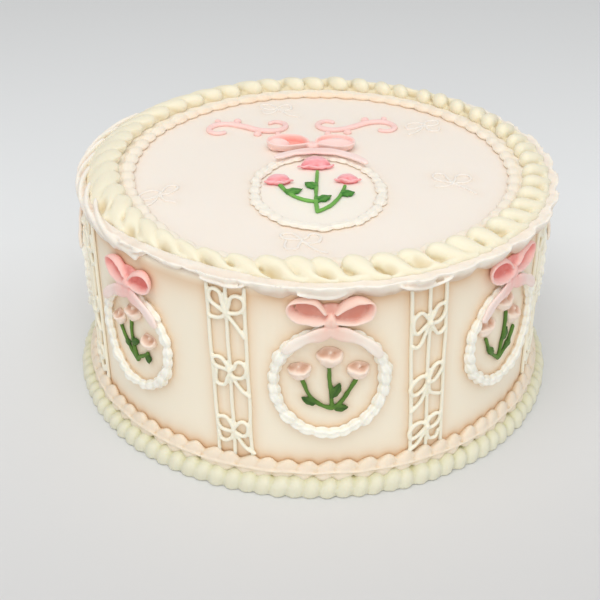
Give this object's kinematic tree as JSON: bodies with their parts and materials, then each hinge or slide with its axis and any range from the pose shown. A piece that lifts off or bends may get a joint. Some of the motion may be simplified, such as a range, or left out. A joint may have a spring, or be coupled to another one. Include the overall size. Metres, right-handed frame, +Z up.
{
  "type": "round piped celebration cake",
  "caption": "Round ten inch cake in cream buttercream with vintage over-piping: rope, ruffle and bead borders, bow and tulip medallions",
  "frame": {"origin": "centre of the round base, on the surface that the cake stands on", "axes": "+Z is up along the cake's axis; the front medallion faces -Y and +X is to its right"},
  "size_m": [0.2762, 0.276, 0.1299],
  "materials": {
    "icing_coat": "smooth spread buttercream, pale warm cream, soft satin with faint knife marks",
    "ivory_piping": "ivory piped buttercream, soft satin",
    "white_piping": "white piped buttercream, soft satin",
    "blush_piping": "pale pink cream piped buttercream, soft satin",
    "pink_piping": "pink piped buttercream, soft satin",
    "green_piping": "leaf green piped buttercream, soft satin"
  },
  "bodies": {
    "root": {"cake_body": "icing_coat", "top_rope_border": "ivory_piping", "top_inner_shells": "blush_piping", "top_ruffle": "white_piping", "base_bead_border": "ivory_piping", "base_shells": "blush_piping", "wreath_side_1": "white_piping", "ribbon_bow_side_1": "pink_piping", "tulip_spray_side_1": "green_piping", "wreath_side_2": "white_piping", "ribbon_bow_side_2": "pink_piping", "tulip_spray_side_2": "green_piping", "wreath_side_3": "white_piping", "ribbon_bow_side_3": "pink_piping", "tulip_spray_side_3": "green_piping", "wreath_side_4": "white_piping", "ribbon_bow_side_4": "pink_piping", "tulip_spray_side_4": "green_piping", "wreath_side_5": "white_piping", "ribbon_bow_side_5": "pink_piping", "tulip_spray_side_5": "green_piping", "wreath_side_6": "white_piping", "ribbon_bow_side_6": "pink_piping", "tulip_spray_side_6": "green_piping", "wreath_side_7": "white_piping", "ribbon_bow_side_7": "pink_piping", "tulip_spray_side_7": "green_piping", "wreath_side_8": "white_piping", "ribbon_bow_side_8": "pink_piping", "tulip_spray_side_8": "green_piping", "string_panel_1": "ivory_piping", "string_panel_2": "ivory_piping", "string_panel_3": "ivory_piping", "string_panel_4": "ivory_piping", "string_panel_5": "ivory_piping", "string_panel_6": "ivory_piping", "string_panel_7": "ivory_piping", "string_panel_8": "ivory_piping", "wreath_top": "white_piping", "ribbon_bow_top": "pink_piping", "tulip_spray_top": "green_piping", "top_string_bow_1": "ivory_piping", "top_string_bow_2": "ivory_piping", "top_string_bow_3": "ivory_piping", "top_string_bow_4": "ivory_piping", "top_string_bow_5": "ivory_piping", "top_scroll_1": "pink_piping", "top_scroll_2": "pink_piping"}
  },
  "joints": []
}
